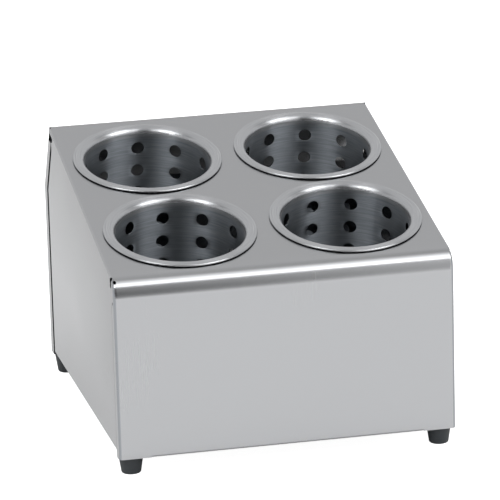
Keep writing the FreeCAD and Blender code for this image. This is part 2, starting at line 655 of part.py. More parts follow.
# --- assembly ----------------------------------------------------------------------------------
def all_pieces():
    """Each named piece, in housing coordinates."""
    pieces = {"housing_cover": housing_cover(), "rear_panel": rear_panel()}
    pieces["rear_panel_rivets"] = group(placed_rivets())
    pieces.update(placed_cylinders())
    for name, shape in at_feet(foot()).items():
        pieces["foot_" + name] = shape
    cup_washer = ring(CUP_WASHER_RADIUS, SCREW_RADIUS, FOOT_RECESS_DEPTH - WASHER_THICKNESS,
                      WASHER_THICKNESS)
    washer = ring(WASHER_RADIUS, SCREW_RADIUS, FOOT_HEIGHT + SHEET, WASHER_THICKNESS)
    pieces["foot_screws"] = group(at_feet(foot_screw()).values())
    pieces["foot_cup_washers"] = group(at_feet(cup_washer).values())
    pieces["foot_washers"] = group(at_feet(washer).values())
    pieces["foot_nuts"] = group(at_feet(foot_nut()).values())
    return pieces


def main():
    os.makedirs("parts", exist_ok=True)
    for name, shape in all_pieces().items():
        shape.translate(TO_ORIGIN)
        shape.exportStep("parts/%s.step" % name)
        size = shape.BoundBox
        print("%-32s solids %d valid %s  x %.1f..%.1f  y %.1f..%.1f  z %.1f..%.1f"
              % (name, len(shape.Solids), shape.isValid(), size.XMin, size.XMax, size.YMin,
                 size.YMax, size.ZMin, size.ZMax))


main()
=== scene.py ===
"""Looks of the four-cylinder cutlery dispenser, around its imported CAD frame. Metres."""
import bmesh
import bpy
import json
from math import cos, pi, radians, sin
from mathutils import Matrix, Vector

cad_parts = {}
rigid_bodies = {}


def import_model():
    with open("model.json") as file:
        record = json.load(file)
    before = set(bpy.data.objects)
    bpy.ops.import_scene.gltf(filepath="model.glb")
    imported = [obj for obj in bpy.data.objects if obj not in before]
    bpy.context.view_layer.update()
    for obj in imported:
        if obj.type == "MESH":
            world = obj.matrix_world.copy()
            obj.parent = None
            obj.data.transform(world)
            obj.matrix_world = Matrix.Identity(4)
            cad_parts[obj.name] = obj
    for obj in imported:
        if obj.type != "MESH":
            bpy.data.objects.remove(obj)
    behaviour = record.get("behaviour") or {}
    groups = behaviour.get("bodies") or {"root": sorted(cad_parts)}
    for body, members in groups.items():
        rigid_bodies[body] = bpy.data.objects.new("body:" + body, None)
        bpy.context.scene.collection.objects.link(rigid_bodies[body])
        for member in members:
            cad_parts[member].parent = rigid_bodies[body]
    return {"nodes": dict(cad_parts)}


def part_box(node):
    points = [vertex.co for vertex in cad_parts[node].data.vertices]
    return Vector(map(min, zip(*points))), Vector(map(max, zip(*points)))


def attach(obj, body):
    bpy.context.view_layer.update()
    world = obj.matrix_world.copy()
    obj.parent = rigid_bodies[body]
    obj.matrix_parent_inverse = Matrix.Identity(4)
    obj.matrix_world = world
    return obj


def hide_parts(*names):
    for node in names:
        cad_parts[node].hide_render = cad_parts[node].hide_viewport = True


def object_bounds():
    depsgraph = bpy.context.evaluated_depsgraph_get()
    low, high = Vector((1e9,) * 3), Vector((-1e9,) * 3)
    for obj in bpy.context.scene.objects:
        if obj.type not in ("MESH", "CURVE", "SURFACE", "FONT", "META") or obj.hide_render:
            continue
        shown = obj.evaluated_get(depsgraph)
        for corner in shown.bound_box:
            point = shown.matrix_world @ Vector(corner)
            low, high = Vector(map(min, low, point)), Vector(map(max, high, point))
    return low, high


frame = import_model()
CAD_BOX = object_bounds()
MM = 0.001

# --- the dispenser's own sizes -----------------------------------------------------------------
TOP_SLOPE = radians(13.0)
TOP_NORMAL = Vector((0, -sin(TOP_SLOPE), cos(TOP_SLOPE)))
TOP_PLANE = 186.2 * MM                # the top's distance from the origin, along its normal
CYLINDER_TURNS = {"front_left": -3.3, "front_right": 19.8, "rear_left": 2.6, "rear_right": 12.0}
CYLINDER_SHEET = 0.8 * MM
BORE_RADIUS = 51.0 * MM
RIM_RADIUS = 60.5 * MM
RIM_HEIGHT = 2.0 * MM                 # the rim's upper face, above the top of the housing
RIM_LIP = 1.1 * MM
RIM_EDGE_RADIUS = 1.0 * MM
BELL_RADIUS = 4.4 * MM
BASE_RADIUS = 8.0 * MM
FLOOR_HEIGHT = -134.2 * MM            # inside, from the top of the housing
HOLE_RADIUS = 5.3 * MM
HOLE_COLUMNS = 10
HOLE_ROWS = 6
FIRST_ROW_HEIGHT = -15.0 * MM
ROW_PITCH = 20.4 * MM
PUNCHED_EDGE = 0.4 * MM               # rounding of the holes' edges
DRAIN_RADIUS = 4.0 * MM
DRAIN_COUNT = 8
DRAIN_CIRCLE_RADIUS = 30.0 * MM
ROUND_CORNERS = 32                    # corners round a drain hole or a rivet
MERGE_DISTANCE = 0.01 * MM            # corners of a mesh that lie closer become one
SMOOTH_ANGLE = radians(35)            # sharper edges than this stay crisp in the shading
NOISE_SPREAD = (0.3, 0.7)             # nearly all of a noise pattern lies between these
RIVET_HEAD = [(4.0, 0.0), (3.9, -0.06), (3.6, -0.22), (3.0, -0.5), (2.0, -0.84), (1.3, -0.99),
              (1.1, -0.95)]           # dome outline in mm: radius, height on the outer sheet
RIVET_SHANK = [(2.0, 0.0), (2.0, 2.0), (2.9, 2.0), (2.9, 3.7), (2.5, 4.6), (1.5, 5.0)]
MANDREL_RADIUS = 1.05                 # mm, the broken pin in the middle of the head
MANDREL_DEPTH = -0.45
REAR_LEAN = radians(31.35)            # of the lip, from upright
RIVET_SEATS = [(Vector((x, 118.8, 213.33)) * MM, REAR_LEAN) for x in (-105, 0, 105)]
RIVET_SEATS += [(Vector((x, 149.45, 28.8)) * MM, 0.0) for x in (-121.5, 121.5)]

# --- camera ------------------------------------------------------------------------------------
IMAGE_SIZE = 500                      # pixels, both ways
FOCAL_LENGTH = 3751.5                 # pixels
PRINCIPAL_POINT = (246.33, 254.25)    # pixels from the upper left corner
CAMERA_YAW = radians(-12.514)
CAMERA_PITCH = radians(15.481)
CAMERA_ROLL = radians(-1.571)
CAMERA_TO_DISPENSER = Vector((0.04, -109.84, -3064.85)) * MM   # in the camera's own axes
CAMERA_AIM = Vector((0, -0.855, 13.8)) * MM                    # the point that it is measured to

# --- studio ------------------------------------------------------------------------------------
FLOOR_RADIUS = 12.0
FLOOR_GLOW = 0.95                     # added to the floor's own light, as the camera sees it
MIRRORED_FLOOR_GLOW = 0.50            # and as the steel mirrors it
SHADE_EDGES = (1.1, 1.3)              # that sets in between these, in half depths of the CAD box
SHADE_NARROWING = 1.25                # at the sides in half widths, divided by this
WORLD_LEVEL = 0.8                     # light from the rear, against white at the horizon
WALL_RISE = (0.05, 0.5)               # upward parts of a direction, between which it falls to that
CEILING_SHARE = 0.15                  # how much of that is left overhead and high at the sides
CEILING_RISE = (0.2, 0.5)             # upward parts between which the dim ceiling sets in
CEILING_LEAN = -0.8                   # it rises to the rear: the rearward part times this
CEILING_END = (0.5, 1.0)              # and the upward part together have to pass these
CEILING_SIDES = (radians(12), radians(26))    # sideways angles between which it dims in full,
CEILING_MIDDLE = 0.15                 # from this part of it straight ahead
SOFTBOX_LEVEL = 2.5                   # added to that inside the soft boxes
SOFTBOX_HEIGHTS = [radians(a) for a in (31, 41, 42, 95)]      # up from straight ahead
RIGHT_BOX_SIDES = [radians(a) for a in (2, 11, 38, 50)]
LEFT_BOX_SIDES = [radians(a) for a in (-49, -37, -15, -5)]
HOT_SIDES = (radians(15), radians(25))        # sideways angles between which they grow brighter
HOT_LEVEL = 2.8                       # by this factor
CARD_DISTANCE = 1.2
CARD_WIDTH = 3.0
CARD_HEIGHT = 1.3
CARD_LIFT = 0.04                      # its lower edge above the floor
CARD_SHADES = (0.08, 1.0)             # its dark left part and its bright right part
CARD_FADE = (0.05, 0.5)               # the one turns into the other between these places


def linear(code):
    """Linear colour of an sRGB hex code, with full alpha."""
    channels = [int(code[i:i + 2], 16) / 255 for i in (1, 3, 5)]
    return [c / 12.92 if c <= 0.04045 else ((c + 0.055) / 1.055) ** 2.4 for c in channels] + [1.0]


def add(tree, kind, sockets=None, **settings):
    """A new node with its settings, its input sockets set to values or linked to other sockets."""
    node = tree.nodes.new(kind)
    for name, value in settings.items():
        setattr(node, name, value)
    for name, value in (sockets or {}).items():
        if isinstance(value, bpy.types.NodeSocket):
            tree.links.new(value, node.inputs[name])
        else:
            node.inputs[name].default_value = value
    return node


def new_material(name):
    """An empty node material and its tree."""
    material = bpy.data.materials.new(name)
    material.use_nodes = True
    material.node_tree.nodes.clear()
    return material, material.node_tree


def wear(obj, material):
    """Give a piece one material all over."""
    obj.data.materials.clear()
    obj.data.materials.append(material)


def select_only(obj):
    """Select one object, and make it the active one."""
    bpy.ops.object.select_all(action="DESELECT")
    obj.select_set(True)
    bpy.context.view_layer.objects.active = obj


def apply_placement():
    """Write the selected objects' place, turn and scale into their meshes."""
    bpy.ops.object.transform_apply(location=True, rotation=True, scale=True)


def copy_of(pattern, placement):
    """A copy of a piece, with a mesh of its own, in its place."""
    piece = pattern.copy()
    piece.data = pattern.data.copy()
    bpy.context.scene.collection.objects.link(piece)
    piece.matrix_world = placement
    return piece


# --- materials ---------------------------------------------------------------------------------
def brushed_sheet_steel(name, colour, side_painted_light_colour, roughness):
    """Stainless sheet, cold rolled and belt-brushed from front to rear before it was folded.

    Fine straight lines, and highlights that spread across them more than along them. Below the
    side bends the sides take their own colour, as painted light, and grow darker towards the top,
    partly as painted shade and partly for the dulling beside the side bends. The upright folds are
    painted darker as painted shade, and the forward faces at the sides' seams and slots are painted
    near-black as painted shade in the seams.
    """
    line_spacing = 0.6 * MM           # coarser than the real 0.1 mm, so that the lines show
    line_length = 60 * MM
    cloud_size = 90 * MM
    shaded_and_dulled_depth = 110 * MM          # below the top: the sides are painted darker towards it over this depth
    side_start = 0.7                  # sideways part of the normal where the lines stand upright
    bend_end = 0.8                    # and where the side bends end
    fold_shade_span = (0.22, 0.46)          # normal's parts multiplied, from a fold's edge to its middle, where the painted fold shade grows
    edge_reach = 1.8 * MM             # the painted seam shade lies this close to the sides' outer faces,
    edge_start = 7.5 * MM             # more than this far behind the front,
    edge_facing = -0.5                # and face forwards: rearward part of the normal below this
    material, tree = new_material(name)
    place = add(tree, "ShaderNodeTexCoord").outputs["Object"]
    straight = add(tree, "ShaderNodeMapping",
                   {"Vector": place, "Rotation": (-TOP_SLOPE, 0, 0)}).outputs["Vector"]
    across_lines = (1 / line_spacing, 1 / line_length, 1 / line_length)
    upright_lines = (1 / line_length, 1 / line_length, 1 / line_spacing)
    lines = []
    for scale in (across_lines, upright_lines):
        stretched = add(tree, "ShaderNodeVectorMath", {0: straight, 1: scale}, operation="MULTIPLY")
        lines.append(add(tree, "ShaderNodeTexNoise",
                         {"Vector": stretched.outputs["Vector"], "Scale": 1.0, "Detail": 2.0,
                          "Roughness": 0.6}).outputs["Fac"])
    normal = add(tree, "ShaderNodeSeparateXYZ",
                 {"Vector": add(tree, "ShaderNodeNewGeometry").outputs["Normal"]}).outputs
    sideways = add(tree, "ShaderNodeMath", {0: normal["X"]}, operation="ABSOLUTE").outputs["Value"]
    on_a_side = add(tree, "ShaderNodeMath", {0: sideways, 1: side_start},
                    operation="GREATER_THAN").outputs["Value"]
    brushing = add(tree, "ShaderNodeMix", {"Factor": on_a_side, 2: lines[0], 3: lines[1]},
                   data_type="FLOAT").outputs[0]
    clouds = add(tree, "ShaderNodeTexNoise",
                 {"Vector": place, "Scale": 1 / cloud_size, "Detail": 3.0}).outputs["Fac"]
    tone = add(tree, "ShaderNodeMapRange",
               {"Value": brushing, "From Min": NOISE_SPREAD[0],
                "From Max": NOISE_SPREAD[1], "To Min": 0.94, "To Max": 1.0}).outputs["Result"]
    below_the_bend = add(tree, "ShaderNodeMapRange",
                         {"Value": sideways, "From Min": bend_end,
                          "From Max": 1.0}).outputs["Result"]
    # below the side bends the sides take their own colour: painted light, lighter on the housing
    # and darker on the rear panel
    skin = add(tree, "ShaderNodeMix", {"Factor": below_the_bend, 6: linear(colour),
                                       7: linear(side_painted_light_colour)}, data_type="RGBA")
    brushed = add(tree, "ShaderNodeMix",
                  {"Factor": tone, 6: linear("#9FA1A4"), 7: skin.outputs[2]}, data_type="RGBA")
    height = add(tree, "ShaderNodeSeparateXYZ", {"Vector": straight}).outputs["Z"]
    # the sides are painted darker towards the top: partly painted shade, partly the dulling beside
    # the side bends
    under_the_top = add(tree, "ShaderNodeMapRange",
                        {"Value": height, "From Min": TOP_PLANE - shaded_and_dulled_depth,
                         "From Max": TOP_PLANE}).outputs["Result"]
    shaded_and_dulled = add(tree, "ShaderNodeMath", {0: under_the_top, 1: below_the_bend},
                  operation="MULTIPLY").outputs["Value"]
    blended = add(tree, "ShaderNodeMix", {"Factor": shaded_and_dulled, 6: brushed.outputs[2],
                                          7: linear("#98999B")}, data_type="RGBA")
    both_ways = add(tree, "ShaderNodeMath", {0: normal["X"], 1: normal["Y"]},
                    operation="MULTIPLY").outputs["Value"]
    on_a_fold = add(tree, "ShaderNodeMath", {0: both_ways}, operation="ABSOLUTE").outputs["Value"]
    # painted shade on the upright corner folds, in place of their dark reflection
    painted_fold_shade = add(tree, "ShaderNodeMapRange",
                         {"Value": on_a_fold, "From Min": fold_shade_span[0],
                          "From Max": fold_shade_span[1]}).outputs["Result"]
    folded = add(tree, "ShaderNodeMix",
                 {"Factor": painted_fold_shade, 6: blended.outputs[2], 7: linear("#929599")},
                 data_type="RGBA")
    # painted shade in the seams and slots: near-black on the forward-facing faces beside the sides
    at = add(tree, "ShaderNodeSeparateXYZ", {"Vector": place}).outputs
    beside = add(tree, "ShaderNodeMath", {0: at["X"]}, operation="ABSOLUTE").outputs["Value"]
    painted_seam_shade = add(tree, "ShaderNodeMath", {0: normal["Y"], 1: edge_facing},
              operation="LESS_THAN").outputs["Value"]
    for value, limit in ((beside, CAD_BOX[1].x - edge_reach),
                         (at["Y"], CAD_BOX[0].y + edge_start)):
        beyond = add(tree, "ShaderNodeMath", {0: value, 1: limit}, operation="GREATER_THAN")
        painted_seam_shade = add(tree, "ShaderNodeMath", {0: painted_seam_shade, 1: beyond.outputs["Value"]},
                  operation="MULTIPLY").outputs["Value"]
    painted = add(tree, "ShaderNodeMix",
                  {"Factor": painted_seam_shade, 6: folded.outputs[2], 7: linear("#202226")}, data_type="RGBA")
    haze = add(tree, "ShaderNodeMath", {0: clouds, 1: 0.06, 2: roughness - 0.05},
               operation="MULTIPLY_ADD").outputs["Value"]
    rough = add(tree, "ShaderNodeMath", {0: brushing, 1: 0.05, 2: haze},
                operation="MULTIPLY_ADD").outputs["Value"]
    relief = add(tree, "ShaderNodeBump", {"Height": brushing, "Strength": 0.12,
                                          "Distance": 0.02 * MM})
    # across the sheet, and slanted so that it also has a direction on the sides
    across = add(tree, "ShaderNodeCombineXYZ", {"X": 1.0, "Y": -0.02, "Z": 0.1})
    surface = add(tree, "ShaderNodeBsdfPrincipled",
                  {"Base Color": painted.outputs[2], "Metallic": 1.0, "Roughness": rough,
                   "Anisotropic": 0.8, "Tangent": across.outputs["Vector"],
                   "Specular Tint": linear("#E1E1E1"), "Normal": relief.outputs["Normal"]})
    add(tree, "ShaderNodeOutputMaterial", {"Surface": surface.outputs["BSDF"]})
    return material


def spun_cylinder_steel(name, seat):
    """Stainless steel, deep drawn and then given a polish while it turned.

    Fine lines round the cylinder, which draw each reflection out into an upright band. The rim has
    a bright polish, and the bore keeps more of the rougher drawn skin; the bore is also painted
    darker than the rim, as painted shade inside the cylinder.
    """
    line_spacing = 0.9 * MM           # coarser than the real 0.05 mm, so that the lines show
    line_length = 25 * MM
    below = 400 * MM                  # a point on the axis that the stretch direction points from
    polish = (-6 * MM, -1 * MM)       # heights over which the rough bore, painted darker as painted shade, turns into the bright rim
    material, tree = new_material(name)
    place = add(tree, "ShaderNodeTexCoord").outputs["Object"]
    off_centre = add(tree, "ShaderNodeVectorMath", {0: place, 1: tuple(seat)},
                     operation="SUBTRACT").outputs["Vector"]
    own = add(tree, "ShaderNodeMapping",
              {"Vector": off_centre, "Rotation": (-TOP_SLOPE, 0, 0)}).outputs["Vector"]
    parts = add(tree, "ShaderNodeSeparateXYZ", {"Vector": own})
    flat = add(tree, "ShaderNodeCombineXYZ", {"X": parts.outputs["X"], "Y": parts.outputs["Y"]})
    radius = add(tree, "ShaderNodeVectorMath", {0: flat.outputs["Vector"]},
                 operation="LENGTH").outputs["Value"]
    along_wall = add(tree, "ShaderNodeMath", {0: radius, 1: parts.outputs["Z"]},
                     operation="ADD").outputs["Value"]
    stretched = [add(tree, "ShaderNodeMath", {0: value, 1: factor}, operation="MULTIPLY").outputs[0]
                 for value, factor in ((parts.outputs["X"], 1 / line_length),
                                       (parts.outputs["Y"], 1 / line_length),
                                       (along_wall, 1 / line_spacing))]
    turned = add(tree, "ShaderNodeCombineXYZ", dict(zip("XYZ", stretched)))
    lines = add(tree, "ShaderNodeTexNoise",
                {"Vector": turned.outputs["Vector"], "Scale": 1.0, "Detail": 3.0,
                 "Roughness": 0.65}).outputs["Fac"]
    tone = add(tree, "ShaderNodeMapRange",
               {"Value": lines, "From Min": NOISE_SPREAD[0], "From Max": NOISE_SPREAD[1],
                "To Min": 0.0, "To Max": 1.0}).outputs["Result"]
    rim_polish_and_light = add(tree, "ShaderNodeMapRange",
                   {"Value": parts.outputs["Z"], "From Min": polish[0],
                    "From Max": polish[1]}).outputs["Result"]
    # the bore's colour is painted darker than the rim's: painted shade inside the cylinder
    bore = add(tree, "ShaderNodeMix",
               {"Factor": tone, 6: linear("#7A7F84"), 7: linear("#94999F")}, data_type="RGBA")
    rim = add(tree, "ShaderNodeMix",
              {"Factor": tone, 6: linear("#ABADB0"), 7: linear("#BEBFC1")}, data_type="RGBA")
    painted = add(tree, "ShaderNodeMix",
                  {"Factor": rim_polish_and_light, 6: bore.outputs[2], 7: rim.outputs[2]}, data_type="RGBA")
    finish = add(tree, "ShaderNodeMapRange",
                 {"Value": rim_polish_and_light, "To Min": 0.39, "To Max": 0.2}).outputs["Result"]
    rough = add(tree, "ShaderNodeMath", {0: lines, 1: 0.1, 2: finish},
                operation="MULTIPLY_ADD").outputs["Value"]
    relief = add(tree, "ShaderNodeBump", {"Height": lines, "Strength": 0.15,
                                          "Distance": 0.02 * MM})
    outwards = add(tree, "ShaderNodeVectorMath",
                   {0: place, 1: tuple(seat - TOP_NORMAL * below)}, operation="SUBTRACT")
    surface = add(tree, "ShaderNodeBsdfPrincipled",
                  {"Base Color": painted.outputs[2], "Metallic": 1.0, "Roughness": rough,
                   "Anisotropic": 1.0, "Tangent": outwards.outputs["Vector"],
                   "Normal": relief.outputs["Normal"]})
    add(tree, "ShaderNodeOutputMaterial", {"Surface": surface.outputs["BSDF"]})
    return material


def deburred_edge_and_highlight_steel():
    """Punched and sheared edges, tumbled round and finely frosted. They are painted lighter than
    the drawn skin, partly their own frost and partly a painted highlight on the hole rims.
    """
    frost_size = 0.8 * MM
    material, tree = new_material("deburred_edge_and_highlight_steel")
    place = add(tree, "ShaderNodeTexCoord").outputs["Object"]
    frost = add(tree, "ShaderNodeTexNoise",
                {"Vector": place, "Scale": 1 / frost_size, "Detail": 2.0}).outputs["Fac"]
    # lighter than the bore: partly the edges' own frost, partly a painted highlight on the hole
    # rims
    painted = add(tree, "ShaderNodeMix",
                  {"Factor": frost, 6: linear("#B9BCC0"), 7: linear("#D6D9DC")},
                  data_type="RGBA")
    rough = add(tree, "ShaderNodeMath", {0: frost, 1: 0.15, 2: 0.4},
                operation="MULTIPLY_ADD").outputs["Value"]
    surface = add(tree, "ShaderNodeBsdfPrincipled",
                  {"Base Color": painted.outputs[2], "Metallic": 1.0, "Roughness": rough})
    add(tree, "ShaderNodeOutputMaterial", {"Surface": surface.outputs["BSDF"]})
    return material


def zinc_plated_steel():
    """Cold-headed steel with a thin bright zinc plate: bluish, softly mottled, not brushed."""
    mottle_size = 1.5 * MM
    material, tree = new_material("zinc_plated_steel")
    place = add(tree, "ShaderNodeTexCoord").outputs["Object"]
    mottle = add(tree, "ShaderNodeTexNoise",
                 {"Vector": place, "Scale": 1 / mottle_size, "Detail": 3.0}).outputs["Fac"]
    painted = add(tree, "ShaderNodeMix",
                  {"Factor": mottle, 6: linear("#A9AFB5"), 7: linear("#C6CACC")},
                  data_type="RGBA")
    rough = add(tree, "ShaderNodeMath", {0: mottle, 1: 0.15, 2: 0.25},
                operation="MULTIPLY_ADD").outputs["Value"]
    surface = add(tree, "ShaderNodeBsdfPrincipled",
                  {"Base Color": painted.outputs[2], "Metallic": 1.0, "Roughness": rough})
    add(tree, "ShaderNodeOutputMaterial", {"Surface": surface.outputs["BSDF"]})
    return material


def moulded_rubber():
    """Black nitrile rubber from a spark-eroded mould: charcoal, matt, with a fine even grain."""
    grain_size = 0.5 * MM
    bloom_size = 12 * MM
    material, tree = new_material("moulded_rubber")
    place = add(tree, "ShaderNodeTexCoord").outputs["Object"]
    grain = add(tree, "ShaderNodeTexNoise",
                {"Vector": place, "Scale": 1 / grain_size, "Detail": 2.0}).outputs["Fac"]
    bloom = add(tree, "ShaderNodeTexNoise",
                {"Vector": place, "Scale": 1 / bloom_size, "Detail": 3.0}).outputs["Fac"]
    painted = add(tree, "ShaderNodeMix",
                  {"Factor": bloom, 6: linear("#1B1F22"), 7: linear("#2A2F33")},
                  data_type="RGBA")
    rough = add(tree, "ShaderNodeMath", {0: bloom, 1: 0.15, 2: 0.5},
                operation="MULTIPLY_ADD").outputs["Value"]
    relief = add(tree, "ShaderNodeBump", {"Height": grain, "Strength": 0.3,
                                          "Distance": 0.05 * MM})
    surface = add(tree, "ShaderNodeBsdfPrincipled",
                  {"Base Color": painted.outputs[2], "Roughness": rough,
                   "Normal": relief.outputs["Normal"]})
    add(tree, "ShaderNodeOutputMaterial", {"Surface": surface.outputs["BSDF"]})
    return material


# --- cutlery cylinders -------------------------------------------------------------------------
def seat_centre(name):
    """Where a cylinder's axis meets the housing's top, from the box of its node.

    Its rounded rim edge reaches furthest to the front and highest at the rear.
    """
    low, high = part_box("cutlery_cylinder_" + name)
    edge_ring = RIM_RADIUS - RIM_EDGE_RADIUS
    middle = Vector(((low.x + high.x) / 2,
                     low.y + RIM_EDGE_RADIUS + edge_ring * cos(TOP_SLOPE),
                     high.z - RIM_EDGE_RADIUS - edge_ring * sin(TOP_SLOPE)))
    return middle - (RIM_HEIGHT - RIM_EDGE_RADIUS) * TOP_NORMAL


def pick(piece, test):
    """In edit mode, select the corners whose place passes the test, and nothing else."""
    bpy.ops.mesh.select_all(action="DESELECT")
    mesh = bmesh.from_edit_mesh(piece.data)
    for corner in mesh.verts:
        if test(corner.co):
            corner.select = True
    mesh.select_flush_mode()
    bmesh.update_edit_mesh(piece.data)


def finish_with(piece, kind, **settings):
    """Add a modifier and apply it."""
    modifier = piece.modifiers.new(kind.lower(), kind)
    for name, value in settings.items():
        setattr(modifier, name, value)
    bpy.ops.object.modifier_apply(modifier=modifier.name)


def bend_points(centre, radius, start, end):
    """(radius, height) points round a bend in the cylinder's outline, 15 degrees apart."""
    steps = abs(end - start) // 15
    angles = [radians(start + (end - start) * i / steps) for i in range(steps + 1)]
    return [(centre[0] + radius * cos(a), centre[1] + radius * sin(a)) for a in angles]


def draw_out(points):
    """Extrude the selected loop round the axis, from the first (radius, height) to the last."""
    for (radius, height), (next_radius, next_height) in zip(points, points[1:]):
        growth = next_radius / radius
        bpy.ops.mesh.extrude_region_move(
            TRANSFORM_OT_translate={"value": (0, 0, next_height - height)})
        bpy.ops.transform.resize(value=(growth, growth, 1), center_override=(0, 0, 0))


def perforated_blank():
    """The flat sheet of a cylinder's wall: one hole in its own cell, and the cell repeated."""
    cell_width = 2 * pi * BORE_RADIUS / HOLE_COLUMNS
    first = Vector((-cell_width * (HOLE_COLUMNS - 1) / 2, 0, FIRST_ROW_HEIGHT))
    upright = (radians(90), 0, 0)
    faces_across, faces_up = 8, 6         # of a cell, whose outline has the hole's count of corners
    bpy.ops.object.select_all(action="DESELECT")
    bpy.ops.mesh.primitive_grid_add(x_subdivisions=faces_across, y_subdivisions=faces_up, size=1,
                                    location=first, rotation=upright)
    blank = bpy.context.object
    blank.scale = (cell_width, ROW_PITCH, 1)
    apply_placement()
    bpy.ops.object.mode_set(mode="EDIT")
    inside = 0.49                         # just less than half a cell: all but its outline
    pick(blank, lambda place: abs(place.x - first.x) < inside * cell_width
         and abs(place.z - first.z) < inside * ROW_PITCH)
    bpy.ops.mesh.delete(type="VERT")
    bpy.ops.mesh.primitive_circle_add(vertices=2 * (faces_across + faces_up),
                                      radius=HOLE_RADIUS, location=first, rotation=upright)
    bpy.ops.mesh.select_all(action="SELECT")
    bpy.ops.mesh.bridge_edge_loops(number_cuts=2, interpolation="LINEAR")
    bpy.ops.object.mode_set(mode="OBJECT")
    for count, step in ((HOLE_ROWS, (0, 0, -ROW_PITCH)), (HOLE_COLUMNS, (cell_width, 0, 0))):
        finish_with(blank, "ARRAY", count=count, use_relative_offset=False,
                    use_constant_offset=True, constant_offset_displace=step,
                    use_merge_vertices=True, merge_threshold=MERGE_DISTANCE)
    return blank


def model_cylinder():
    """Perforated cup with a belled, turned-down rim. Its origin lies on the housing's top."""
    cup = perforated_blank()
    base_start = FLOOR_HEIGHT + BASE_RADIUS
    blank_end = FIRST_ROW_HEIGHT - (HOLE_ROWS - 0.5) * ROW_PITCH
    blank_start = FIRST_ROW_HEIGHT + ROW_PITCH / 2
    hair = 0.05 * MM                      # how far a pick reaches over an edge
    finish_with(cup, "SIMPLE_DEFORM", deform_method="BEND", deform_axis="Z", angle=2 * pi)
    bpy.ops.object.mode_set(mode="EDIT")
    bpy.ops.mesh.select_all(action="SELECT")
    bpy.ops.transform.translate(value=(0, -BORE_RADIUS, 0))
    bpy.ops.mesh.remove_doubles(threshold=MERGE_DISTANCE)
    pick(cup, lambda place: place.z < blank_end + hair)
    bpy.ops.transform.translate(value=(0, 0, base_start - blank_end))
    base_bend = bend_points((BORE_RADIUS - BASE_RADIUS, base_start), BASE_RADIUS, 0, -90)
    draw_out(base_bend + [(BORE_RADIUS - 2 * BASE_RADIUS, FLOOR_HEIGHT)])
    bpy.ops.mesh.edge_face_add()
    pick(cup, lambda place: place.z > blank_start - hair)
    bell = bend_points((BORE_RADIUS + BELL_RADIUS, RIM_HEIGHT - BELL_RADIUS), BELL_RADIUS, 180, 90)
    edge = bend_points((RIM_RADIUS - RIM_EDGE_RADIUS, RIM_HEIGHT - RIM_EDGE_RADIUS),
                       RIM_EDGE_RADIUS, 90, 0)
    draw_out([(BORE_RADIUS, blank_start)] + bell + edge + [(RIM_RADIUS, RIM_HEIGHT - RIM_LIP)])
    bpy.ops.mesh.select_all(action="SELECT")
    bpy.ops.mesh.normals_make_consistent(inside=False)
    bpy.ops.object.mode_set(mode="OBJECT")
    finish_with(cup, "SOLIDIFY", thickness=CYLINDER_SHEET, offset=1, use_even_offset=True)
    for material in (new_material("wall_slot")[0], deburred_edge_and_highlight_steel()):
        cup.data.materials.append(material)
    finish_with(cup, "BEVEL", width=PUNCHED_EDGE, segments=3, limit_method="ANGLE",
                angle_limit=radians(50), material=1)
    return cup


def drill_the_drains(cup):
    """A centre hole and a ring of holes through the base."""
    places = [Vector((0, 0, FLOOR_HEIGHT))]
    for i in range(DRAIN_COUNT):
        angle = 2 * pi * i / DRAIN_COUNT - pi / HOLE_COLUMNS
        places.append(Vector((DRAIN_CIRCLE_RADIUS * cos(angle), DRAIN_CIRCLE_RADIUS * sin(angle),
                              FLOOR_HEIGHT)))
    bpy.ops.object.select_all(action="DESELECT")
    for place in places:
        bpy.ops.mesh.primitive_cylinder_add(vertices=ROUND_CORNERS, radius=DRAIN_RADIUS,
                                            depth=4 * CYLINDER_SHEET, location=place)
    drills = [obj for obj in bpy.context.scene.objects if obj.name.startswith("Cylinder")]
    bpy.context.view_layer.objects.active = drills[0]
    for drill in drills:
        drill.select_set(True)
    bpy.ops.object.join()
    apply_placement()
    bpy.ops.object.select_all(action="DESELECT")
    bpy.context.view_layer.objects.active = cup
    finish_with(cup, "BOOLEAN", operation="DIFFERENCE", object=drills[0], solver="EXACT")
    bpy.data.objects.remove(drills[0])


def make_cylinders():
    """Four cylinders from one pattern, each turned as it was dropped in."""
    pattern = model_cylinder()
    drill_the_drains(pattern)
    between_columns = 180 / HOLE_COLUMNS      # the blank's joint lies midway between two holes
    for name, turn in CYLINDER_TURNS.items():
        cylinder = copy_of(pattern, Matrix.Translation(seat_centre(name))
                           @ Matrix.Rotation(TOP_SLOPE, 4, "X")
                           @ Matrix.Rotation(radians(between_columns - turn), 4, "Z"))
        cylinder.name = "spun_cylinder_" + name
        select_only(cylinder)
        apply_placement()
        bpy.ops.object.shade_smooth_by_angle(angle=SMOOTH_ANGLE)
        cylinder.data.materials[0] = spun_cylinder_steel("spun_steel_" + name, seat_centre(name))
        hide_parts("cutlery_cylinder_" + name)
        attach(cylinder, "cylinder_" + name)
    bpy.data.objects.remove(pattern)


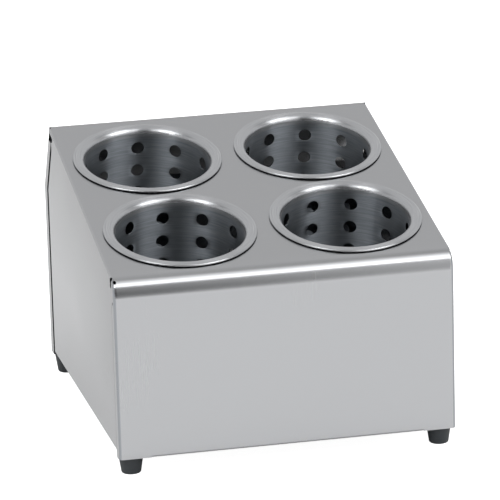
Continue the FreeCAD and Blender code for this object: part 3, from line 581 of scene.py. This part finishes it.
# --- rivets ------------------------------------------------------------------------------------
def make_rivets():
    """Five blind rivets from one pattern, each with the pin broken off inside its head."""
    outline = ([(MANDREL_RADIUS * 0.5, MANDREL_DEPTH - 0.1), (MANDREL_RADIUS, MANDREL_DEPTH)]
               + RIVET_HEAD[::-1] + RIVET_SHANK)
    outline = [(radius * MM, height * MM) for radius, height in outline]
    bpy.ops.object.select_all(action="DESELECT")
    bpy.ops.mesh.primitive_circle_add(vertices=ROUND_CORNERS, radius=outline[0][0],
                                      fill_type="NGON",
                                      location=(0, 0, outline[0][1]))
    pattern = bpy.context.object
    apply_placement()
    bpy.ops.object.mode_set(mode="EDIT")
    bpy.ops.mesh.select_all(action="SELECT")
    draw_out(outline)
    bpy.ops.mesh.select_all(action="SELECT")
    bpy.ops.mesh.normals_make_consistent(inside=False)
    bpy.ops.object.mode_set(mode="OBJECT")
    rivets = [copy_of(pattern, Matrix.Translation(seat)
                      @ Matrix.Rotation(radians(90) + lean, 4, "X"))
              for seat, lean in RIVET_SEATS]
    bpy.data.objects.remove(pattern)
    bpy.ops.object.select_all(action="DESELECT")
    for rivet in rivets:
        rivet.select_set(True)
    bpy.context.view_layer.objects.active = rivets[0]
    apply_placement()
    bpy.ops.object.join()
    bpy.ops.object.shade_smooth_by_angle(angle=SMOOTH_ANGLE)
    rivets[0].name = "blind_rivets"
    wear(rivets[0], zinc_plated_steel())
    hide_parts("rear_panel_rivets")
    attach(rivets[0], "housing")


# --- sheet steel, fixings and feet -------------------------------------------------------------
def dress_the_nodes():
    """Materials for the CAD's own meshes. The housing's sides are painted lighter and the rear
    panel's sides a little darker: painted light and shade on the same steel.
    """
    nodes = frame["nodes"]
    wear(nodes["housing_cover"],
         brushed_sheet_steel("brushed_sheet_steel", "#B2B3B5", "#BBBCBE", 0.25))
    wear(nodes["rear_panel"],
         brushed_sheet_steel("brushed_rear_steel", "#B2B3B5", "#A9AAAC", 0.25))
    zinc = zinc_plated_steel()
    for name in ("rear_panel_rivets", "foot_screws", "foot_cup_washers", "foot_washers",
                 "foot_nuts"):
        wear(nodes[name], zinc)
    rubber = moulded_rubber()
    for name in CYLINDER_TURNS:
        wear(nodes["foot_" + name], rubber)


# --- studio ------------------------------------------------------------------------------------
def lay_floor():
    """White studio floor. It keeps a soft shadow, and mirrors nothing bright under the housing."""
    bpy.ops.mesh.primitive_circle_add(vertices=64, radius=FLOOR_RADIUS, fill_type="NGON")
    floor = bpy.context.object
    floor.name = "studio_floor"
    material, tree = new_material("white_studio_floor")
    lit = add(tree, "ShaderNodeBsdfDiffuse", {"Color": linear("#BCBCBC")})
    place = add(tree, "ShaderNodeTexCoord").outputs["Object"]
    footprint = add(tree, "ShaderNodeVectorMath",
                    {0: place, 1: (SHADE_NARROWING / CAD_BOX[1].x, 1 / CAD_BOX[1].y, 0)},
                    operation="MULTIPLY")
    sides = add(tree, "ShaderNodeSeparateXYZ",
                {"Vector": add(tree, "ShaderNodeVectorMath", {0: footprint.outputs["Vector"]},
                               operation="ABSOLUTE").outputs["Vector"]})
    furthest = add(tree, "ShaderNodeMath", {0: sides.outputs["X"], 1: sides.outputs["Y"]},
                   operation="MAXIMUM").outputs["Value"]
    clear_of_it = add(tree, "ShaderNodeMapRange",
                      {"Value": furthest, "From Min": SHADE_EDGES[0],
                       "From Max": SHADE_EDGES[1]}).outputs["Result"]
    path = add(tree, "ShaderNodeLightPath").outputs
    seen = add(tree, "ShaderNodeMath", {0: path["Is Glossy Ray"], 1: path["Is Transmission Ray"]},
               operation="MAXIMUM").outputs["Value"]
    mirrored = add(tree, "ShaderNodeMath", {0: seen, 1: clear_of_it},
                   operation="MULTIPLY").outputs["Value"]
    in_mirrors = add(tree, "ShaderNodeMath", {0: mirrored, 1: MIRRORED_FLOOR_GLOW},
                     operation="MULTIPLY").outputs["Value"]
    level = add(tree, "ShaderNodeMath", {0: path["Is Camera Ray"], 1: FLOOR_GLOW, 2: in_mirrors},
                operation="MULTIPLY_ADD").outputs["Value"]
    glow = add(tree, "ShaderNodeEmission", {"Color": linear("#FFFFFF"), "Strength": level})
    both = add(tree, "ShaderNodeAddShader", {0: lit.outputs["BSDF"], 1: glow.outputs["Emission"]})
    add(tree, "ShaderNodeOutputMaterial", {"Surface": both.outputs["Shader"]})
    wear(floor, material)


def window(tree, value, *edges):
    """1 between the two middle edges, and 0 outside the outer two."""
    rise = add(tree, "ShaderNodeMapRange",
               {"Value": value, "From Min": edges[0], "From Max": edges[1]},
               interpolation_type="SMOOTHSTEP").outputs["Result"]
    fall = add(tree, "ShaderNodeMapRange",
               {"Value": value, "From Min": edges[2], "From Max": edges[3], "To Min": 1.0,
                "To Max": 0.0}, interpolation_type="SMOOTHSTEP").outputs["Result"]
    return add(tree, "ShaderNodeMath", {0: rise, 1: fall}, operation="MULTIPLY").outputs["Value"]


def light_the_world():
    """White at the horizon, dimmer overhead, and two soft boxes high in front, left and right."""
    world = bpy.data.worlds.new("studio")
    bpy.context.scene.world = world
    world.use_nodes = True
    tree = world.node_tree
    tree.nodes.clear()
    way = add(tree, "ShaderNodeSeparateXYZ",
              {"Vector": add(tree, "ShaderNodeTexCoord").outputs["Generated"]}).outputs
    walls = add(tree, "ShaderNodeMapRange",
                {"Value": way["Z"], "From Min": WALL_RISE[0], "From Max": WALL_RISE[1],
                 "To Min": 1.0, "To Max": WORLD_LEVEL}).outputs["Result"]
    high = add(tree, "ShaderNodeMapRange",
               {"Value": way["Z"], "From Min": CEILING_RISE[0],
                "From Max": CEILING_RISE[1]}).outputs["Result"]
    forward_of_rear = add(tree, "ShaderNodeMath", {0: way["Y"], 1: CEILING_LEAN, 2: way["Z"]},
                          operation="MULTIPLY_ADD").outputs["Value"]
    unlit = add(tree, "ShaderNodeMapRange",
                {"Value": forward_of_rear, "From Min": CEILING_END[0],
                 "From Max": CEILING_END[1]}).outputs["Result"]
    sideways = add(tree, "ShaderNodeMath", {0: way["X"]}, operation="ARCSINE").outputs["Value"]
    from_middle = add(tree, "ShaderNodeMath", {0: sideways}, operation="ABSOLUTE").outputs["Value"]
    aside = add(tree, "ShaderNodeMapRange",
                {"Value": from_middle, "From Min": CEILING_SIDES[0],
                 "From Max": CEILING_SIDES[1], "To Min": CEILING_MIDDLE,
                 "To Max": 1.0}).outputs["Result"]
    ceiling = high
    for factor in (unlit, aside):
        ceiling = add(tree, "ShaderNodeMath", {0: ceiling, 1: factor},
                      operation="MULTIPLY").outputs["Value"]
    share = add(tree, "ShaderNodeMapRange",
                {"Value": ceiling, "To Min": 1.0, "To Max": CEILING_SHARE}).outputs["Result"]
    level = add(tree, "ShaderNodeMath", {0: walls, 1: share}, operation="MULTIPLY").outputs["Value"]
    forwards = add(tree, "ShaderNodeMath", {0: way["Y"], 1: -1.0},
                   operation="MULTIPLY").outputs["Value"]
    height = add(tree, "ShaderNodeMath", {0: way["Z"], 1: forwards},
                 operation="ARCTAN2").outputs["Value"]
    boxes = window(tree, height, *SOFTBOX_HEIGHTS)
    right = window(tree, sideways, *RIGHT_BOX_SIDES)
    left = window(tree, sideways, *LEFT_BOX_SIDES)
    either = add(tree, "ShaderNodeMath", {0: right, 1: left}, operation="ADD").outputs["Value"]
    hotter = add(tree, "ShaderNodeMapRange",
                 {"Value": from_middle, "From Min": HOT_SIDES[0], "From Max": HOT_SIDES[1],
                  "To Min": 1.0, "To Max": HOT_LEVEL}).outputs["Result"]
    sides = add(tree, "ShaderNodeMath", {0: either, 1: hotter}, operation="MULTIPLY").outputs[0]
    lit = add(tree, "ShaderNodeMath", {0: boxes, 1: sides}, operation="MULTIPLY").outputs["Value"]
    total = add(tree, "ShaderNodeMath", {0: lit, 1: SOFTBOX_LEVEL, 2: level},
                operation="MULTIPLY_ADD").outputs["Value"]
    seen = add(tree, "ShaderNodeLightPath").outputs["Is Camera Ray"]
    strength = add(tree, "ShaderNodeMix", {"Factor": seen, 2: total, 3: 1.0}, data_type="FLOAT")
    background = add(tree, "ShaderNodeBackground",
                     {"Color": linear("#FFFFFF"), "Strength": strength.outputs[0]})
    add(tree, "ShaderNodeOutputWorld", {"Surface": background.outputs["Background"]})


def stand_grey_card():
    """Grey card in front, seen only in reflections. It gives the shade below each highlight."""
    bpy.ops.mesh.primitive_plane_add(
        size=1, location=(0, -CARD_DISTANCE, CARD_LIFT + CARD_HEIGHT / 2))
    card = bpy.context.object
    card.name = "grey_card"
    card.scale = (CARD_WIDTH, CARD_HEIGHT, 1)
    card.rotation_euler = (radians(90), 0, 0)
    apply_placement()
    material, tree = new_material("grey_card")
    across = add(tree, "ShaderNodeSeparateXYZ",
                 {"Vector": add(tree, "ShaderNodeTexCoord").outputs["Object"]}).outputs["X"]
    grey = add(tree, "ShaderNodeMapRange",
               {"Value": across, "From Min": CARD_FADE[0], "From Max": CARD_FADE[1],
                "To Min": CARD_SHADES[0], "To Max": CARD_SHADES[1]}).outputs["Result"]
    surface = add(tree, "ShaderNodeEmission", {"Color": linear("#FFFFFF"), "Strength": grey})
    add(tree, "ShaderNodeOutputMaterial", {"Surface": surface.outputs["Emission"]})
    wear(card, material)
    card.visible_camera = False
    card.visible_shadow = False
    card.visible_diffuse = False


def set_up_camera():
    """Low in front and a little to the left, with a long lens."""
    turn = (Matrix.Rotation(CAMERA_YAW, 3, "Z")
            @ Matrix.Rotation(radians(90) - CAMERA_PITCH, 3, "X")
            @ Matrix.Rotation(CAMERA_ROLL, 3, "Z"))
    data = bpy.data.cameras.new("camera")
    data.lens = FOCAL_LENGTH / IMAGE_SIZE * data.sensor_width
    data.shift_x = (IMAGE_SIZE / 2 - PRINCIPAL_POINT[0]) / IMAGE_SIZE
    data.shift_y = (PRINCIPAL_POINT[1] - IMAGE_SIZE / 2) / IMAGE_SIZE
    data.clip_end = 2 * FLOOR_RADIUS
    camera = bpy.data.objects.new("camera", data)
    bpy.context.scene.collection.objects.link(camera)
    camera.rotation_euler = turn.to_euler()
    camera.location = CAMERA_AIM - turn @ CAMERA_TO_DISPENSER
    bpy.context.scene.camera = camera


bpy.context.scene.view_settings.view_transform = "Standard"
dress_the_nodes()
make_cylinders()
make_rivets()
lay_floor()
light_the_world()
stand_grey_card()
set_up_camera()
